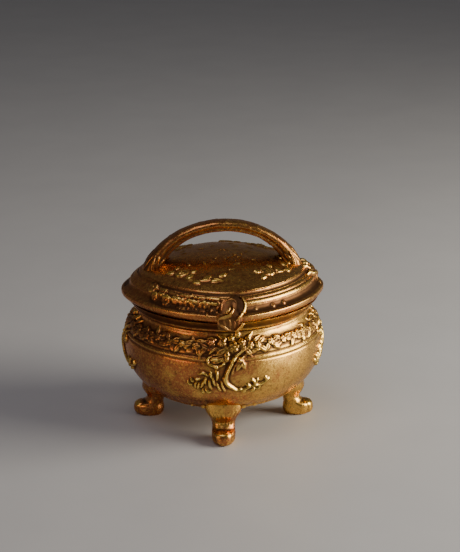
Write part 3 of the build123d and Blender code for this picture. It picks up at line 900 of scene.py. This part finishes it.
def shell_piece():
    """A swept shell that hangs from the lid's ridge over its edge."""
    cells, steps = 170, 300
    s = np.linspace(0, 1, cells)[:, None]
    u = np.linspace(-1, 1, cells)[None, :]
    path = smooth_curve(SHELL_PATH, steps)
    length = np.linspace(0, 1, steps)
    sides = (smooth_curve(SHELL_LEFT, 200), smooth_curve(SHELL_RIGHT, 200))
    left, right = (np.interp(s, side[:, 1], side[:, 0]) for side in sides)
    x = (left + right) / 2 + (right - left) / 2 * u
    down = s + 0 * u
    detail = shell_carving()(x, SHELL_LENGTH * (1 - down))
    detail = detail - SHELL_HOLLOW * bump(x, 2.4, 2.2) * bump(down, 0.30, 0.20)
    swell = SHELL_SWELL * np.sin(math.pi * (0.10 + 0.80 * s)) * (1 - u**4)
    height = np.clip(swell + detail, SHELL_LOWEST, SHELL_HIGHEST)
    slope = np.gradient(path, axis=0)
    slope /= np.linalg.norm(slope, axis=1, keepdims=True)
    radial = np.interp(down, length, path[:, 0]) - height * np.interp(down, length, slope[:, 1])
    level = np.interp(down, length, path[:, 1]) + height * np.interp(down, length, slope[:, 0])
    radial = np.minimum(radial, (SHELL_FRONT + x * math.sin(LID_TURN)) / math.cos(LID_TURN))
    local = np.stack(np.broadcast_arrays(x, -radial, level), 2)
    front = turned(local, LID_TURN)
    back = turned(local + [0, SHELL_THICK, 0], LID_TURN)
    cavity = 0.45 * detail - 0.25
    a = np.arange(cavity.size).reshape(cavity.shape)
    b = a + cavity.size
    faces = np.stack([a[:-1, :-1], a[1:, :-1], a[1:, 1:], a[:-1, 1:]], 2).reshape(-1, 4).tolist()
    faces += np.stack([b[:-1, :-1], b[:-1, 1:], b[1:, 1:], b[1:, :-1]], 2).reshape(-1, 4).tolist()
    rim = np.concatenate([a[:-1, 0], a[-1, :-1], a[:0:-1, -1], a[0, :0:-1]])
    after = np.roll(rim, -1)
    faces += np.stack([after, rim, rim + a.size, after + a.size], 1).tolist()
    places = np.concatenate([front.reshape(-1, 3), back.reshape(-1, 3)])
    return new_piece("lid_shell_ornament", places, faces, lid_gilt, np.tile(cavity.ravel(), 2))


ornament = shell_piece()
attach(ornament, "lid")


# Handle


def lid_top(x, y):
    """Height of the lid's face over a place in the lid's own plan."""
    radius = np.hypot(x, y) / plan_share(np.arctan2(y, x), LID_PULL)
    edge_height = np.interp(radius, lid_curve[::-1, 0], lid_curve[::-1, 1])
    return np.where(radius < DOME_BASE, dome_height(radius), edge_height)


def handle_piece():
    """The strap as an elliptical arch, its underside grooved along both edges, leafed at its roots."""
    rows, columns = 300, 130
    angle = np.linspace(math.pi, 0, rows)
    around = np.arange(columns) * TURN / columns
    flare = np.abs(np.cos(angle)) ** 5
    width = (STRAP_WIDTH + (ROOT_WIDTH - STRAP_WIDTH) * flare)[:, None] / 2
    thick = (STRAP_THICK + (ROOT_THICK - STRAP_THICK) * flare)[:, None] / 2
    flat = 0 * angle
    centre = np.stack([ARCH_HALF_SPAN * np.cos(angle), flat, ARCH_SPRINGING + ARCH_HEIGHT * np.sin(angle)], 1)
    outward = np.stack([ARCH_HEIGHT * np.cos(angle), flat, ARCH_HALF_SPAN * np.sin(angle)], 1)
    outward /= np.linalg.norm(outward, axis=1, keepdims=True)
    power = 2 / STRAP_SQUARENESS
    across = np.sign(np.cos(around)) * np.abs(np.cos(around)) ** power
    away = np.sign(np.sin(around)) * np.abs(np.sin(around)) ** power
    points = centre[:, None, :] + (width * across)[:, :, None] * np.array([0, 1.0, 0])
    points = points + (thick * away)[:, :, None] * outward[:, None, :]
    skin = Skin(points, around, (width[:, 0] + thick[:, 0]) * 0.85)
    rim = 0.35 * bump(away, -0.72, 0.2) - 0.45 * bump(away, -0.25, 0.22)
    skin.ground += (rim * (np.abs(across) > 0.6))[None, :] * (1 - flare)[:, None] ** 0.5
    # Painted shade over the roots, deeper on their inner faces
    skin.shade -= flare[:, None] ** 0.4 * (0.22 + 0.25 * np.clip(-away, 0, 1)[None, :])
    skin.roughen(height=0.06, size=1.5, seed=8)
    end = skin.along[-1]
    for foot_end, sign in ((0.0, 1), (end, -1)):
        for heading in (66, 90, 114):
            blade = placed(leaf(11.0, 1.6, 0.9, 0.1), 0, -2.0 * sign, math.radians(heading) * sign)
            for turn in (0.0, math.pi):
                skin.stamp(turn, foot_end + sign * 9.0, 13.0, blade)
        for heading in (55, 80, 105, 130):
            blade = placed(leaf(12.0, 1.7, 0.55, 0.1), 0, -2.0 * sign, math.radians(heading) * sign)
            skin.stamp(math.pi / 2, foot_end + sign * 8.0, 14.0, blade)
    for number in range(60):
        azimuth, station = draws.uniform(0, TURN), draws.uniform(6, end - 6)
        skin.stamp(azimuth, station, 3.0, bead(draws.uniform(0.5, 1.2), 0.16))
    skin.soften(0.12)
    points = skin.raised()
    sunk = lid_top(points[:, :, 0], points[:, :, 1]) - ROOT_DEPTH
    points[:, :, 2] = np.maximum(points[:, :, 2], sunk)
    return skin.mesh("strap_handle", handle_gilt, turned(points, LID_TURN), poles=True)


strap = handle_piece()
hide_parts("handle")
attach(strap, "lid")


# Feet


def foot_piece(name, azimuth):
    """A cabriole foot: a round toe under a crease, and flutes that run down its leg from the knee."""
    curve = smooth_curve(np.array(FOOT_SECTIONS) * [UNDERSIDE, 1, 1, 1], 400)
    rows, columns = 120, 160
    height = np.linspace(0, curve[-1, 0], rows)
    middle, depth, width = (np.interp(height, curve[:, 0], curve[:, k])[:, None] for k in (1, 2, 3))
    around = np.arange(columns) * TURN / columns
    points = np.stack([
        middle + depth * np.cos(around),
        width * np.sin(around),
        np.repeat(height[:, None], len(around), 1),
    ], 2)
    skin = Skin(points, around, ((depth + width) / 2)[:, 0])
    skin.roughen(height=0.05, size=1.4, seed=9)
    skin.ground[:3] = 0
    ahead = np.clip(np.cos(around), 0, 1)[None, :]
    skin.ground -= 0.60 * bump(height, CREASE_HEIGHT, 0.8)[:, None] * ahead
    skin.ground += 0.45 * bump(height, TOE_CREST, 1.1)[:, None] * ahead
    toe, knee = skin.station(TOE_HEIGHT), skin.station(KNEE_HEIGHT)
    for number in range(-3, 4):
        flute = strand([(2.3 * number, 5.5), (1.7 * number, 2.0), (1.35 * number, -2.6)], 0.8, 0.35)
        skin.stamp(0, knee, 11.0, flute)
    skin.stamp(0, toe + 0.6, 8.0, bead(5.0, 0.8))
    skin.soften(0.2)
    points = skin.raised()
    points[:, :, 2] = np.maximum(points[:, :, 2], 0)
    reach = np.hypot(points[:, :, 0], points[:, :, 1])
    radius, level = bowl_curve[:BELLY_POINTS].T
    bowl_side = np.interp(reach, radius * (1 - BOWL_PULL / 2), level, left=UNDERSIDE)
    points[:, :, 2] = np.minimum(points[:, :, 2], bowl_side + FOOT_BITE)
    return skin.mesh(name, foot_gilt, turned(points, azimuth), poles=True)


for number, side in enumerate(("right", "back", "left", "front")):
    foot = foot_piece("cast_foot_" + side, number * TURN / 4)
    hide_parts("foot_" + side)
    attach(foot, "case")


# Lining


def pad_piece(name, base, up, seed, turn, radius, thick, crown):
    """A round silk pad with a puckered edge and a crowned face."""
    tuck = thick / 2
    edge_level = base + up * thick
    side = [(radius - tuck + tuck * math.sin(a), (base + edge_level) / 2 - up * tuck * math.cos(a), 0.0)
            for a in np.linspace(0, math.pi, 14)]
    face = [((radius - tuck) * share, edge_level + up * crown * (1 - share**2) ** 0.85, 0.0)
            for share in np.linspace(1, 0.02, 60)[1:]]
    rows = [(POLE, base, 0.0)] + side + face
    if up < 0:
        rows = rows[::-1]
    skin = ring_skin(rows, PAD_COLUMNS, 0.0, turn)
    reach = np.array([row[0] for row in rows])[:, None] / radius
    heights = np.array([row[1] for row in rows])[:, None]
    shown = np.abs(heights - base) > 0.3 * thick
    rng = np.random.default_rng(seed)
    fold = np.zeros((1, len(skin.azimuth)))
    for wave in (23, 31, 38, 47):
        fold = fold + rng.uniform(0.5, 1.0) * np.cos(wave * skin.azimuth + rng.uniform(0, TURN))
    pucker = np.clip(reach, 0, 1) ** 6 * 0.16 * fold
    soft = blur(rng.normal(size=skin.ground.shape), 5.0, 22.0)
    wrinkle = 0.22 * soft / soft.std() * np.clip(1.2 - reach, 0, 1)
    skin.ground += (pucker + wrinkle) * shown * np.clip(reach * 8, 0, 1)
    return skin.mesh(name, lining_silk, poles=True)


def side_pad_piece():
    """Gathered silk round the wall, fullest at mid height."""
    outer = spread([(SIDE_FOOT_RADIUS, LINING_FOOT, 0.0), (SIDE_TOP_RADIUS, LINING_TOP, 0.0)], 7.2)
    inner, count = [], 90
    for share in np.linspace(0, 1, count):
        swell = SIDE_THICK * (0.45 + 0.55 * math.sin(math.pi * share) ** 0.7)
        back = SIDE_TOP_RADIUS + (SIDE_FOOT_RADIUS - SIDE_TOP_RADIUS) * share
        inner.append((back - swell, LINING_TOP + (LINING_FOOT - LINING_TOP) * share, 0.0))
    skin = ring_skin(outer + inner, COLUMNS, 0.0, first=len(outer))
    share = np.linspace(0, 1, count)[:, None]
    rng = np.random.default_rng(3)
    fold = np.zeros((count, COLUMNS))
    for wave in (61, 74, 88, 103):
        drift = 0.8 * np.sin(2.2 * share + rng.uniform(0, TURN))
        fold += rng.uniform(0.5, 1.0) * np.cos(wave * skin.azimuth + rng.uniform(0, TURN) + drift)
    skin.ground[skin.shown] += 0.13 * fold * (0.35 + 0.65 * np.sin(math.pi * share) ** 0.5)
    return skin.mesh("silk_side_lining", lining_silk)


cushion = pad_piece("silk_floor_cushion", LINING_FOOT, 1, seed=21, turn=0.0, **CUSHION)
lid_pad = pad_piece("silk_lid_pad", LID_PAD_BASE, -1, seed=22, turn=LID_TURN, **LID_PAD)
for piece, cad_node, body, fill in ((cushion, "base_pad", "case", 0.7), (lid_pad, "lid_pad", "lid", 0.6),
                                    (side_pad_piece(), "side_pad", "case", 0.5)):
    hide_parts(cad_node)
    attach(piece, body)

for name in ("base_card", "side_card", "lid_card", "foot_screws"):
    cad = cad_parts[name]
    cad.data.materials.clear()
    cad.data.materials.append(screw_brass if name == "foot_screws" else lining_board)


# Floor, light and camera


def floor():
    bpy.ops.mesh.primitive_plane_add(size=8.0)
    plane = bpy.context.object
    plane.name = "studio_floor"
    made, tree, shader, place = new_material("pale_floor")
    cloud = noise_at(tree, place, size=60.0, detail=3.0)
    two_tone(tree, shader, cloud, 0.3, 0.7, FLOOR_GREY, FLOOR_PALE)
    set_inputs(shader, {"Roughness": 0.55})
    plane.data.materials.append(made)


def area_light(name, place, sides, watts, colour):
    data = bpy.data.lights.new(name, "AREA")
    data.shape = "RECTANGLE"
    data.size, data.size_y = sides
    data.energy, data.color = watts, colour
    light = new_object(name, data)
    light.location = place
    light.rotation_euler = (Vector(CASE_MIDDLE) - Vector(place)).to_track_quat("-Z", "Y").to_euler()


def camera():
    """The photograph's camera, fitted to the outlines of the case."""
    distance, elevation, aim_height = 0.900, math.radians(19.0), 0.060
    pitch, roll, yaw = math.radians(17.85), math.radians(-0.29), math.radians(-0.27)
    focal_pixels, photo_height_pixels = 1660, 552
    data = bpy.data.cameras.new("photo_camera")
    data.sensor_width = 36.0
    data.lens = focal_pixels / photo_height_pixels * data.sensor_width
    eye = new_object("photo_camera", data)
    back, up = distance * math.cos(elevation), distance * math.sin(elevation)
    place = Matrix.Translation((0, -back, aim_height + up))
    aim = Matrix.Rotation(yaw, 4, "Z") @ Matrix.Rotation(math.pi / 2 - pitch, 4, "X")
    eye.matrix_world = place @ aim @ Matrix.Rotation(roll, 4, "Z")
    bpy.context.scene.camera = eye


floor()
for light in LIGHTS:
    area_light(*light)
world = bpy.data.worlds.new("studio")
world.use_nodes = True
set_inputs(world.node_tree.nodes["Background"], {"Color": ROOM_GREY, "Strength": ROOM_LIGHT})
bpy.context.scene.world = world
camera()
